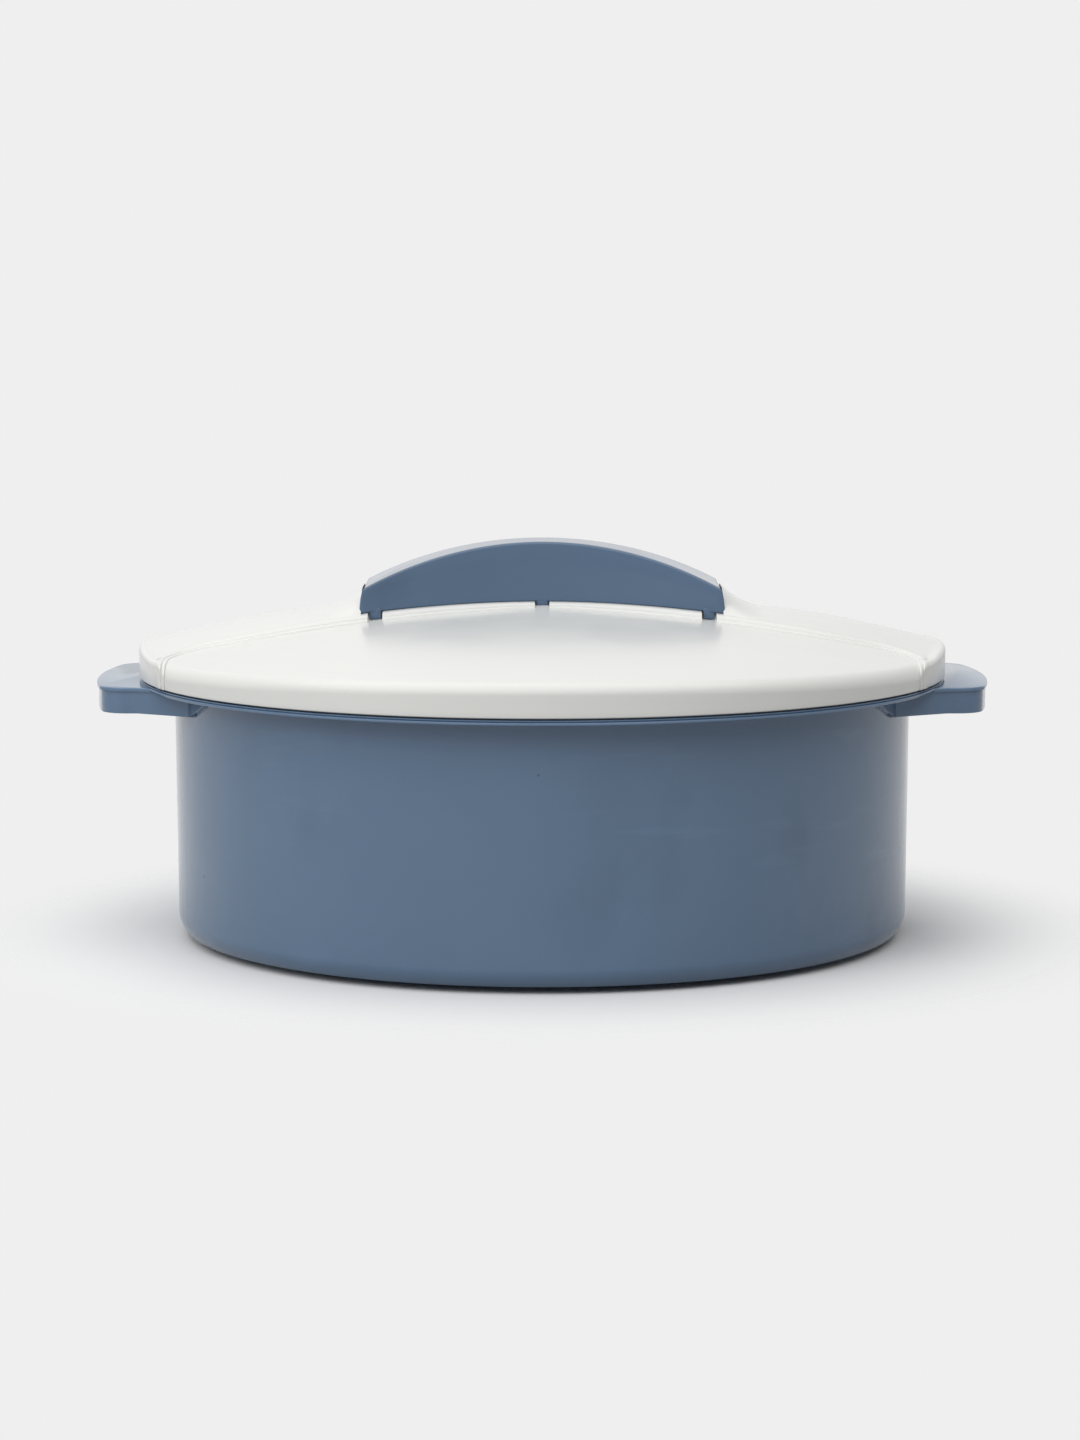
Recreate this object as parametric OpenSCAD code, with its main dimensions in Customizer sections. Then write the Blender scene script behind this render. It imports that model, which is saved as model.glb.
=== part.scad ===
// Insulated serving pot: a double-walled round body with two moulded side handles,
// a domed lid that lifts off, and an arched handle that clips onto the lid.
// Millimetres. Z is up, the pot stands on z = 0 about the Z axis, and its front faces -Y.

/* [Body] */
// Outer diameter of the body wall just under its flange
body_d = 255.6; // [246:0.2:264]
// Height from the table to the top of the body flange
body_h = 89.6; // [75:0.2:120]
// Shrinkage of the wall radius from the flange down to the base corner
wall_draft = 0.7; // [0:0.1:3]
// Thickness of the body wall and base
body_wall = 2.4; // [1.8:0.1:3]
// Outer radius of the corner between wall and base
base_round = 11; // [7:0.5:15]
// Width of the flat ring that the pot stands on
foot_w = 12; // [6:0.5:20]
// Height of the hollow inside that ring
foot_h = 2; // [1.6:0.2:4]
// Thickness of the flange round the top of the body
flange_t = 1.2; // [0.8:0.1:2.4]
// Width of the flange past the body wall
flange_w = 12; // [9:0.2:18]

/* [Side handles] */
// Reach of each side handle past the edge of the lid
grip_reach = 14.5; // [8:0.5:24]
// Width of each side handle
grip_w = 82; // [64:1:96]
// Width of each side handle where its walls meet the body
grip_root_w = 105; // [98:1:116]
// Height of each side handle
grip_h = 8.8; // [7:0.2:14]
// Corner radius of each side handle in plan
grip_corner = 10; // [5:0.5:15]
// Thickness of the side handle's top and walls
grip_wall = 2.2; // [1.6:0.1:3]
// Overhang of the side handle's top edge over its walls
grip_lip = 0.6; // [0.2:0.1:1.2]
// Thickness of that overhanging edge
grip_lip_t = 1.2; // [0.6:0.1:2]
// Length of the gusset beside each side handle
gusset_l = 21; // [10:1:26]
// Thickness of that gusset, measured out from the body wall
gusset_t = 4; // [2:0.5:8]

/* [Rim ring] */
// Thickness of the ring on top of the flange
ring_t = 1.3; // [1:0.1:2.4]
// Distance of the ring's edge inside the flange edge
ring_inset = 0.3; // [0:0.1:1.5]
// Chamfer under the ring's edge, which shows as a seam
ring_chamfer = 0.4; // [0.1:0.1:0.8]
// Depth of the spigot that drops inside the body wall
spigot_h = 5; // [3:0.5:10]
// Thickness of that spigot
spigot_t = 2; // [1.2:0.1:3]

/* [Bowl] */
// Thickness of the insulation between the bowl and the body wall at the top
wall_foam = 10; // [7:0.5:16]
// Thickness of the insulation under the bowl
base_foam = 8; // [4:0.5:20]
// Thickness of the bowl
bowl_wall = 1.6; // [1:0.1:2.4]
// Shrinkage of the bowl radius from its mouth down to its base corner
bowl_draft = 4; // [1:0.5:10]
// Outer radius of the corner between the bowl's wall and base
bowl_round = 20; // [8:1:30]

/* [Lid] */
// Overhang of the lid past the edge of the body flange
lid_over = 0.2; // [0:0.1:2]
// Gap between the lid's lower edge and the rim ring
lid_gap = 0.4; // [0.2:0.1:2]
// Thickness of the lid shell
lid_wall = 2; // [1.4:0.1:2.6]
// Height of the middle of the domed panels above the lid's lower edge
panel_h = 22.6; // [18:0.2:23]
// Height above the lid's lower edge at which the domed panels run out at the skirt
panel_edge_h = 6.3; // [5.6:0.1:9]
// Radius of the shoulder between the panels and the skirt
shoulder_r = 4.5; // [3:0.1:5.5]
// Height of the raised band's edges at their middle above the lid's lower edge
band_h = 24.7; // [24.2:0.1:30]
// Height of the band's edges above the lid's lower edge, run out to the edge of the lid
band_rim_h = 7.7; // [7:0.1:8.4]
// Radius of the band's crown across its width
band_cross_r = 500; // [400:10:900]
// Distance from the middle at which the crown runs out into straight slopes
band_flat_x = 80; // [70:1:90]
// Width of the band at its waist, under the handle
waist_w = 28; // [24:0.5:36]
// Width of the band beyond the handle
band_w = 63; // [58:0.5:72]
// Distance from the edge of the lid in to the place where the band has its full width
spread_in = 35; // [32:1:45]
// Distance from the edge of the lid in to the line where the ribs run down the skirt
rib_end_in = 14.3; // [11:0.1:17]
// Plan radius with which the ribs turn towards the skirt
rib_turn_r = 14; // [8:0.5:18]
// Height of the edge at the ends of the band above the lid's lower edge
band_end_h = 9.7; // [9.4:0.1:10.4]
// Radius of that edge
band_end_r = 2; // [1:0.1:3]
// Slope of the fall to that edge at the corners of the band, in degrees
band_end_slope = 20; // [18:1:30]
// Width of the rib along each edge of the band
rib_w = 2.6; // [1.6:0.1:4]
// Height of the ribs above the band
rib_h = 0.9; // [0.4:0.1:1.6]
// Height of the ribs over the skirt
rib_proud = 0.4; // [0.1:0.1:1]
// Radius of the sweep from the band up to the ends of the handle
sweep_r = 16; // [14:0.5:18]
// Overlap of the sides of that sweep onto the ribs
sweep_lap = 0.3; // [0.2:0.1:1.2]

/* [Lid liner] */
// Thickness of the liner
liner_t = 1.6; // [1:0.1:2.4]
// Depth to which the liner drops into the bowl
liner_drop = 6; // [4:0.5:12]
// Radial clearance of the liner in the bowl's mouth
liner_clear = 0.8; // [0.4:0.1:2]

/* [Lid handle] */
// Length of the handle at its foot
handle_l = 125.8; // [116:0.2:130]
// Height of the handle's top above the middle of the band
handle_rise = 20.75; // [18:0.25:26]
// Radius of the handle's arched top
arch_r = 130.5; // [120:0.5:170]
// Taper of each end of the handle from its foot to its top
end_taper = 1.6; // [0.2:0.1:3]
// Thickness of the handle
handle_wall = 2; // [1.4:0.1:2.6]
// Gap between the handle and the lid around it
seam = 0.4; // [0.3:0.05:0.8]
// Distance of the outer clip tabs from the ends of the handle
tab_end = 5.6; // [4.5:0.1:15]
// Width of each clip tab
tab_w = 4; // [2.5:0.1:6]
// Space beside each clip tab in its gap through the rib
tab_space = 0.5; // [0.3:0.1:1.5]
// Distance of the tab's face behind the front of the rib
tab_setback = 0.6; // [0.3:0.1:1.2]
// Length of the tab below the lid shell
tab_hook = 2; // [1:0.25:4]

/* [Filling holes] */
// Diameter of the foam filling hole in the base
base_hole_d = 20; // [10:0.5:40]
// Diameter of the foam filling hole in the lid
lid_hole_d = 11; // [6:0.5:12]
// Overlap of a plug's head past the edge of its hole
plug_lap = 2.5; // [1:0.1:2.6]
// Thickness of a plug's head
plug_head_t = 1.2; // [0.8:0.1:1.4]

/* [Fits] */
// Clearance between neighbouring pieces of one half of the pot
fit = 0.2; // [0.1:0.05:0.3]

/* [Hidden] */
$fn = 120;

blue = [0.33, 0.42, 0.53];
white = [0.93, 0.93, 0.92];
cream = [0.90, 0.86, 0.70];

// Radii and heights of the body
body_r = body_d / 2;
base_r = body_r - wall_draft;
flange_r = body_r + flange_w;
lid_r = flange_r + lid_over;
foot_in_r = base_r - base_round - foot_w;
body_floor = foot_h + body_wall;
inner_round = base_round - body_wall;
flange_z = body_h - flange_t;
grip_r = lid_r + grip_reach;
grip_z = body_h - grip_h;

// Radii and heights of the ring and the bowl
ring_r = flange_r - ring_inset;
seat_z = body_h + ring_t;
spigot_r = body_r - body_wall - fit;
spigot_z = body_h - spigot_h;
bowl_rim_r = spigot_r - spigot_t - fit;
bowl_top_r = body_r - body_wall - wall_foam;
mouth_r = bowl_top_r - bowl_wall;
bowl_base_r = bowl_top_r - bowl_draft;
bowl_z = body_floor + base_foam;
bowl_rim_z = body_h - bowl_wall;

// Heights and centres of the lid
lid_z = seat_z + lid_gap;
dome_drop = panel_h - panel_edge_h;
dome_r = (lid_r * lid_r + dome_drop * dome_drop) / (2 * dome_drop);
dome_z = lid_z + panel_h - dome_r;
shoulder_c = [lid_r - shoulder_r,
              dome_z + sqrt(pow(dome_r - shoulder_r, 2) - pow(lid_r - shoulder_r, 2))];
shoulder_a = acos((lid_r - shoulder_r) / (dome_r - shoulder_r));
band_slope = (band_h - band_rim_h) / (lid_r - band_flat_x / 2);
spread_x = lid_r - spread_in;
rib_end_x = lid_r - rib_end_in;
band_z = band_top(0);
liner_r = lid_r - lid_wall - fit;
plug_r = mouth_r - liner_clear;
plug_z = seat_z - liner_drop;
liner_top = seat_z + liner_t;

// Heights and places of the lid handle
handle_z = band_z + handle_rise;
handle_in = rib_w + seam;
sweep_x = handle_l / 2 + seam;
sweep_top = arch_top(handle_l / 2 - end_taper);
sweep_c = [sweep_x + sweep_r, band_top(sweep_x + sweep_r) + sweep_r];
tab_x = handle_l / 2 - tab_end;
tab_places = [-tab_x, 0, tab_x];

// Overshoot of cuts and far limits of open outlines
cut = 1;
far = lid_r + 20;

// Smallest radius of that edge on the inside of the shell
band_end_min = 0.3;

// Number of steps along a round stretch of an outline
arc_steps = 12;
// Number of steps along each half of the handle
arch_steps = 20;
// Spacing of the points along the band's edge in plan
edge_step = 5;
// Spacing of the points along the band's crown
crown_step = 15;

// Points on a circle about c from angle a0 to a1
function arc(c, r, a0, a1) =
    [for (i = [0:arc_steps]) let (a = a0 + (a1 - a0) * i / arc_steps) c + r * [cos(a), sin(a)]];

// The same points in the opposite order
function backwards(points) = [for (i = [len(points) - 1:-1:0]) points[i]];

// Points with x and y multiplied by the signs sx and sy
function flipped(points, sx, sy) = [for (p = points) [sx * p[0], sy * p[1]]];

// Inner radius of the body wall at height z
function wall_in_r(z) =
    base_r - body_wall + wall_draft * (z - base_round) / (flange_z - base_round);

// Height of the band's edges over x: a crown in the middle and straight slopes beyond it
function band_edge(x) =
    let (a = min(abs(x), band_flat_x), b = abs(x) - a)
    lid_z + band_h - band_slope * (a * a / (2 * band_flat_x) + b);

// Height of the middle of the band over x, raised above its edges by the crown across its width
function band_top(x) = band_edge(x) + pow(half_w(x), 2) / (2 * band_cross_r);

// Height of the domed panel at radius r
function panel_top(r) = dome_z + sqrt(dome_r * dome_r - r * r);

// Half the width of the band over x: narrow at its waist, widening smoothly to band_w
function half_w(x) =
    (waist_w + (band_w - waist_w) * pow(sin(90 * min(abs(x) / spread_x, 1)), 2)) / 2;

// Height of the handle's arched top over x
function arch_top(x) = handle_z - arch_r + sqrt(arch_r * arch_r - x * x);

// Half section of the body shell: base, wall and flange
module shell_section() {
    corner = [base_r - base_round, base_round];
    inner_corner = [base_r - base_round, body_floor + inner_round];
    polygon(concat(
        [[0, foot_h], [foot_in_r, foot_h], [foot_in_r, 0]],
        arc(corner, base_round, -90, 0),
        [[body_r, flange_z], [flange_r, flange_z], [flange_r, body_h]],
        [[body_r - body_wall, body_h]],
        arc(inner_corner, inner_round, 0, -90),
        [[0, body_floor]]));
}

// Plan of a side handle on the +X side, drawn in by inset
module grip_plan(inset) {
    corner_r = grip_corner - inset;
    y = grip_w / 2 - inset;
    root_y = grip_root_w / 2 - inset;
    reach = grip_r - inset - corner_r;
    corner = [sqrt(reach * reach - pow(y - corner_r, 2)), y - corner_r];
    turn = atan2(corner[1], corner[0]);
    root_x = sqrt(body_r * body_r - root_y * root_y);
    side = concat(
        arc([0, 0], grip_r - inset, 0, turn),
        arc(corner, corner_r, turn, 90),
        [[flange_r - grip_wall, y], [root_x, root_y], [root_x - body_wall, root_y]]);
    polygon(concat(backwards(flipped(side, 1, -1)), [for (i = [1:len(side) - 1]) side[i]]));
}

// Gusset between the body wall and the flange beside a side handle
module gusset() {
    height = grip_h - flange_t - cut;
    turn = asin((grip_root_w / 2 - grip_wall) / body_r);
    rotate(turn)
        translate([body_r - body_wall / 2, 0, flange_z])
            rotate([90, 0, 90])
                linear_extrude(gusset_t + body_wall / 2)
                    polygon([[0, 0], [gusset_l, 0], [0, -height]]);
}

// One side handle: a top plate with an overhanging edge, walls below it and a gusset on each side
module grip() {
    difference() {
        union() {
            translate([0, 0, body_h - grip_lip_t])
                linear_extrude(grip_lip_t) grip_plan(0);
            translate([0, 0, grip_z])
                linear_extrude(grip_h - grip_lip_t) grip_plan(grip_lip);
            gusset();
            mirror([0, 1, 0]) gusset();
        }
        translate([0, 0, grip_z - cut])
            linear_extrude(grip_h - grip_wall + cut) grip_plan(grip_lip + grip_wall);
        translate([0, 0, grip_z - 2 * cut])
            cylinder(r = body_r - body_wall / 2, h = grip_h + 4 * cut);
    }
}

module outer_body() {
    color(blue)
        difference() {
            union() {
                rotate_extrude() shell_section();
                grip();
                mirror([1, 0, 0]) grip();
            }
            translate([0, 0, foot_h - cut])
                cylinder(d = base_hole_d, h = body_wall + 2 * cut);
        }
}

module rim_ring() {
    color(blue)
        rotate_extrude()
            polygon([[mouth_r, body_h], [spigot_r - spigot_t, body_h],
                     [spigot_r - spigot_t, spigot_z], [spigot_r, spigot_z], [spigot_r, body_h],
                     [ring_r - ring_chamfer, body_h], [ring_r, body_h + ring_chamfer],
                     [ring_r, seat_z], [mouth_r, seat_z]]);
}

module inner_bowl() {
    corner = [bowl_base_r - bowl_round, bowl_z + bowl_round];
    color(white)
        rotate_extrude()
            polygon(concat(
                [[0, bowl_z]],
                arc(corner, bowl_round, -90, 0),
                [[bowl_top_r, bowl_rim_z], [bowl_rim_r, bowl_rim_z], [bowl_rim_r, body_h]],
                [[mouth_r, body_h]],
                arc(corner, bowl_round - bowl_wall, 0, -90),
                [[0, bowl_z + bowl_wall]]));
}

module body_foam() {
    outer_corner = [base_r - base_round, body_floor + inner_round];
    bowl_corner = [bowl_base_r - bowl_round, bowl_z + bowl_round];
    top_z = spigot_z - fit;
    color(cream)
        rotate_extrude()
            polygon(concat(
                [[0, body_floor + fit]],
                arc(outer_corner, inner_round - fit, -90, 0),
                [[wall_in_r(top_z) - fit, top_z], [bowl_rim_r, top_z]],
                [[bowl_rim_r, bowl_rim_z - fit], [bowl_top_r + fit, bowl_rim_z - fit]],
                arc(bowl_corner, bowl_round + fit, 0, -90),
                [[0, bowl_z - fit]]));
}

// A plug with its head at z = 0 and its stem along +Z
module plug(hole_d, stem_l) {
    translate([0, 0, -plug_head_t])
        cylinder(d = hole_d + 2 * plug_lap, h = plug_head_t);
    cylinder(d = hole_d - 2 * fit, h = stem_l);
}

module base_plug() {
    color(blue)
        translate([0, 0, foot_h]) plug(base_hole_d, body_wall);
}

// A half section turned about the Z axis, starting at the back and not under an end of the band
module turned() {
    rotate(90)
        rotate_extrude() children();
}

// Half section of the plain domed lid, drawn in by inset and open down to z = bottom
module dome_section(inset, bottom) {
    polygon(concat(
        [[0, bottom], [lid_r - inset, bottom]],
        arc(shoulder_c, shoulder_r - inset, 0, shoulder_a),
        arc([0, dome_z], dome_r - inset, shoulder_a, 90)));
}

// Half section that rounds the ends of the band, drawn in by inset
module band_end_section(inset, bottom) {
    radius = max(band_end_r - inset, band_end_min);
    middle = [lid_r - inset - radius, lid_z + band_end_h - inset - radius];
    edge = arc(middle, radius, 0, 90 - band_end_slope);
    last = edge[arc_steps];
    polygon(concat([[0, bottom], [lid_r - inset, bottom]], edge,
                   [[0, last[1] + last[0] * tan(band_end_slope)]]));
}

// The space under the crowned top of the band, lowered by inset
module under_band(inset) {
    axis_z = band_z - band_cross_r;
    half = [for (x = [0:crown_step:spread_x]) x];
    places = concat([-far], backwards([for (x = half) -x]), [for (x = half) if (x > 0) x], [far]);
    translate([0, 0, axis_z])
        rotate([0, 90, 0])
            rotate_extrude($fn = 3 * $fn)
                polygon(concat([[0, far], [0, -far]],
                               [for (x = places) [band_top(x) - inset - axis_z, x]]));
}

// Plan of the band, drawn in by inset: waisted, with ends that spread along the skirt
module band_plan(inset) {
    turn_c = [rib_end_x - rib_turn_r, band_w / 2 + rib_turn_r];
    edge = [for (x = [0:edge_step:turn_c[0] - cut]) [x, half_w(x) - inset]];
    quarter = concat(edge, arc(turn_c, rib_turn_r + inset, -90, 0),
                     [[rib_end_x + inset, far], [far, far]]);
    half = concat(quarter, backwards(flipped(quarter, 1, -1)));
    polygon(concat(half, [for (i = [1:len(half) - 2]) -half[i]]));
}

// A shape in X and Z, carried through the lid along Y
module along_y() {
    rotate([90, 0, 0])
        linear_extrude(2 * far, center = true) children();
}

// The band, drawn in by inset and open down to z = bottom
module band(inset, bottom) {
    intersection() {
        linear_extrude(handle_z) band_plan(inset);
        under_band(inset);
        turned() band_end_section(inset, bottom);
    }
}

// The sweep from the band up to the handle's end at +X
module sweep(inset, bottom) {
    radius = sweep_r + inset;
    top = sweep_top - inset;
    start = max(asin((sweep_c[1] - top) / radius), acos((sweep_r - inset) / radius));
    corner = inset > 0 ? [] : [[sweep_x, top]];
    intersection() {
        linear_extrude(handle_z) band_plan(rib_w - sweep_lap + inset);
        along_y()
            polygon(concat([[sweep_c[0], bottom], [sweep_x + inset, bottom]], corner,
                           arc(sweep_c, radius, 180 + start, 270)));
    }
}

// The double-bead rib along both edges of the band and down the skirt
module ribs() {
    intersection() {
        linear_extrude(handle_z)
            difference() {
                band_plan(0);
                band_plan(rib_w);
            }
        under_band(-rib_h);
        turned() band_end_section(-rib_proud, lid_z);
    }
}

// A block at each clip tab's place, wider than the tab by side and deeper by back, from below to top
module tab_blocks(side, back, front, below, top) {
    for (x = tab_places, s = [-1, 1]) {
        y = half_w(x);
        low = panel_top(norm([x, y])) - lid_wall - below;
        y0 = y - handle_in - handle_wall - back;
        y1 = y - tab_setback + front;
        translate([x - tab_w / 2 - side, s > 0 ? y0 : -y1, low])
            cube([tab_w + 2 * side, y1 - y0, band_top(x) + top - low]);
    }
}

// The filled form of the lid without its ribs, drawn in by inset
module lid_form(inset, bottom) {
    turned() dome_section(inset, bottom);
    band(inset, bottom);
    sweep(inset, bottom);
    mirror([1, 0, 0]) sweep(inset, bottom);
}

module lid_shell() {
    rib_gap = 2 * (tab_setback + rib_proud);
    color(white)
        difference() {
            union() {
                turned() dome_section(0, lid_z);
                difference() {
                    union() {
                        band(0, lid_z);
                        ribs();
                    }
                    tab_blocks(tab_space, fit, rib_gap, 0, rib_h + cut);
                }
                sweep(0, lid_z);
                mirror([1, 0, 0]) sweep(0, lid_z);
            }
            lid_form(lid_wall, lid_z - cut);
            tab_blocks(fit, fit, fit, tab_hook + cut, cut);
            translate([0, 0, band_z - lid_wall - cut])
                cylinder(d = lid_hole_d, h = lid_wall + 2 * cut);
        }
}

module lid_liner() {
    color(white)
        rotate_extrude()
            polygon([[0, plug_z], [plug_r, plug_z], [plug_r, seat_z], [liner_r, seat_z],
                     [liner_r, liner_top], [plug_r - liner_t, liner_top],
                     [plug_r - liner_t, plug_z + liner_t], [0, plug_z + liner_t]]);
}

module lid_foam() {
    color(cream)
        difference() {
            union() {
                intersection() {
                    lid_form(lid_wall + fit, lid_z);
                    translate([0, 0, liner_top + fit])
                        cylinder(r = lid_r, h = handle_z);
                }
                translate([0, 0, plug_z + liner_t + fit])
                    cylinder(r = plug_r - liner_t - fit, h = liner_drop + cut);
            }
            tab_blocks(fit, fit, fit, tab_hook + fit, cut);
        }
}

module lid_plug() {
    color(white)
        translate([0, 0, band_z])
            mirror([0, 0, 1]) plug(lid_hole_d, lid_wall);
}

// Side view of the handle in X and Z, drawn in by inset, with its foot at a height above the band
module handle_profile(inset, foot) {
    end_x = handle_l / 2 - inset;
    top_x = end_x - end_taper;
    places = [for (i = [-arch_steps:arch_steps]) i / arch_steps];
    polygon(concat([for (p = places) [p * end_x, band_top(p * end_x) + foot]],
                   [for (p = backwards(places)) [p * top_x, arch_top(p * top_x) - inset]]));
}

// The filled form of the handle, drawn in by inset
module handle_form(inset, foot) {
    intersection() {
        linear_extrude(handle_z + cut) band_plan(handle_in + inset);
        along_y() handle_profile(inset, foot);
    }
}

module lid_handle() {
    color(blue)
        union() {
            difference() {
                handle_form(0, fit);
                handle_form(handle_wall, fit - cut);
            }
            tab_blocks(0, 0, 0, tab_hook, handle_wall + fit);
        }
}

outer_body();
rim_ring();
inner_bowl();
body_foam();
base_plug();
lid_shell();
lid_liner();
lid_foam();
lid_plug();
lid_handle();
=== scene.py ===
"""Dresses the frame of an insulated serving pot with moulded plastic pieces and sets up its studio.

Everything is in metres, in the frame's own axes: Z is up, the pot stands on z = 0 and its front faces -Y.
"""

import math

import bmesh
import bpy
from mathutils import Color, Matrix, Vector


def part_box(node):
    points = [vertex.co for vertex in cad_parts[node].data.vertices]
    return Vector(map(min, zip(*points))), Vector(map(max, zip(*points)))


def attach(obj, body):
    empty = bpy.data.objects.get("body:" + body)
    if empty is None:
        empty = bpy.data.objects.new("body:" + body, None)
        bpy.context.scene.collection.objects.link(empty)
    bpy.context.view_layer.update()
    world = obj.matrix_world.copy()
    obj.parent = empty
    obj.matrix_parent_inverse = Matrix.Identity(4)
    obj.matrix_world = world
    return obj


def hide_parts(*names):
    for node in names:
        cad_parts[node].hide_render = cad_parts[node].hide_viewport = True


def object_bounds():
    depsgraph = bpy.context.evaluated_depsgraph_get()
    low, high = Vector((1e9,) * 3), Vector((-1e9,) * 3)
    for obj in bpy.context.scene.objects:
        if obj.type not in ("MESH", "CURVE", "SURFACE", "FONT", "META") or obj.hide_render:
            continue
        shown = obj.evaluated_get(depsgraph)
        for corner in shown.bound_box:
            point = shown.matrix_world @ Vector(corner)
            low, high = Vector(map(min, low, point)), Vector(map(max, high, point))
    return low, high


bl_info = {
    "name": "Insulated serving pot",
    "version": (1, 0, 0),
    "blender": (4, 5, 0),
    "location": "View3D > Sidebar > Serving pot",
    "description": "Moulded plastic pieces of an insulated serving pot, and its studio",
    "category": "Object",
}

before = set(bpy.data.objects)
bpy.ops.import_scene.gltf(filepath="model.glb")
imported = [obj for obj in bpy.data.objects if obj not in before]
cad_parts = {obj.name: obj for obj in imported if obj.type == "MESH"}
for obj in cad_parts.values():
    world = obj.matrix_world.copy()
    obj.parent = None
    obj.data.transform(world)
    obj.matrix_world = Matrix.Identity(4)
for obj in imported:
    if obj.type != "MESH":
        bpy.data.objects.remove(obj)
CAD_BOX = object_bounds()

BODY_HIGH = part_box("outer_body")[1]
RING_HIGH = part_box("rim_ring")[1]
BOWL_LOW, BOWL_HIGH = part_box("inner_bowl")
PLUG_LOW, PLUG_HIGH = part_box("base_plug")
LID_LOW, LID_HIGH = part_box("lid_shell")
LINER_LOW, LINER_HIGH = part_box("lid_liner")
HANDLE_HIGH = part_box("lid_handle")[1]

# Steps of a full turn about the pot's axis, and of a rounded corner of a turned section
TURN_STEPS = 192
CORNER_STEPS = 8
# Distance within which two points are one
WELD = 2e-6
# Edges that turn by more than this stay crisp
CRISP = math.radians(38)


# Properties

def size(name, description, default):
    """A length that a user may change."""
    return bpy.props.FloatProperty(
        name=name, description=description, default=default, min=0, precision=5, unit="LENGTH")


def share(name, description, default):
    """A plain number from 0 to 1."""
    return bpy.props.FloatProperty(
        name=name, description=description, default=default, min=0, max=1, subtype="FACTOR")


def tint(name, description, red, green, blue):
    """A colour as it is seen on a screen, from 0 to 255."""
    return bpy.props.FloatVectorProperty(
        name=name, description=description, default=(red / 255, green / 255, blue / 255),
        min=0, max=1, size=3, subtype="COLOR_GAMMA")


def power(name, description, default):
    """The power of a lamp."""
    return bpy.props.FloatProperty(
        name=name, description=description, default=default, min=0, unit="POWER")


def spot(name, description, x, y, z):
    """A point in the studio."""
    return bpy.props.FloatVectorProperty(
        name=name, description=description, default=(x, y, z), size=3,
        subtype="TRANSLATION", unit="LENGTH")


class PotBody(bpy.types.PropertyGroup):
    """Sizes of the outer body."""
    wall_radius: size("Wall radius", "Outer radius of the wall just under the flange", 0.1278)
    base_radius: size("Base radius", "Outer radius of the wall at the base corner", 0.1271)
    height: size("Height", "Height of the flange's top above the table", BODY_HIGH.z)
    wall: size("Wall", "Thickness of the wall and base", 0.0024)
    base_round: size("Base corner", "Radius of the corner between wall and base", 0.0086)
    foot_inner: size("Foot inside", "Inner radius of the ring that the pot stands on", 0.1041)
    foot_outer: size("Foot outside", "Outer radius of the ring that the pot stands on", 0.1101)
    foot_height: size("Foot height", "Height of the hollow inside the foot", 0.002)
    foot_fillet: size("Foot fillet", "Rounding of the corner in the hollow inside the foot", 0.0008)
    foot_edge: size("Foot edge", "Rounding of the foot's lower edges", 0.0006)
    base_gap: size("Base gap", "Gap between the base corner and the table", 0.0025)
    flange_radius: size("Flange radius", "Outer radius of the flange", BODY_HIGH.y)
    flange_thickness: size("Flange thickness", "Thickness of the flange", 0.001)
    flange_fillet: size("Flange fillet", "Radius of the corner under the flange", 0.0016)
    flange_edge: size("Flange edge", "Rounding of the flange's edges", 0.0004)


class PotGrip(bpy.types.PropertyGroup):
    """Sizes of the side handles."""
    reach: size("Reach", "Distance of the outer end from the pot's axis", BODY_HIGH.x)
    width: size("Width", "Width of a side handle", 0.082)
    root_width: size("Root width", "Width where the walls meet the body", 0.105)
    height: size("Height", "Height of a side handle", 0.0088)
    corner: size("Corner", "Corner radius in plan", 0.010)
    wall: size("Wall", "Thickness of the top and the walls", 0.0022)
    lip: size("Lip", "Overhang of the top edge over the walls", 0.0006)
    lip_thickness: size("Lip thickness", "Thickness of the overhanging top edge", 0.0012)
    top_edge: size("Top edge", "Rounding of the top edge", 0.0004)
    low_edge: size("Lower edge", "Rounding of the walls' lower edge", 0.002)
    gusset_length: size("Gusset length", "Length of the gusset beside a handle", 0.021)
    gusset_depth: size("Gusset depth", "Depth of the gusset out from the wall", 0.0015)


class PotInside(bpy.types.PropertyGroup):
    """Sizes of the ring, the bowl and the liner."""
    mouth: size("Mouth", "Inner radius of the bowl at its mouth", 0.1138)
    bowl_wall: size("Bowl wall", "Thickness of the bowl", 0.0016)
    bowl_draft: size("Bowl draft", "Shrinkage of the bowl's radius down to its base", 0.004)
    bowl_round: size("Bowl corner", "Outer radius of the corner at the bowl's base", 0.020)
    ring_chamfer: size("Ring chamfer", "Chamfer under the ring's edge", 0.0004)
    ring_edge: size("Ring edge", "Rounding of the ring's edges", 0.0003)
    ring_rebate: size("Ring rebate", "Height of the rebate in the ring under the lid's edge", 0.0006)
    rebate_depth: size("Rebate depth", "Depth of the rebate in from the ring's edge", 0.003)
    liner_clearance: size("Liner clearance", "Gap between liner and bowl", 0.0008)
    liner_wall: size("Liner wall", "Thickness of the liner", 0.0016)
    liner_round: size("Liner corner", "Radius of the liner's lower corner", 0.003)
    plug_lap: size("Plug lap", "Overlap of the base plug's head past its hole", 0.0025)
    plug_head: size("Plug head", "Thickness of the base plug's head", 0.0012)


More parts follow.
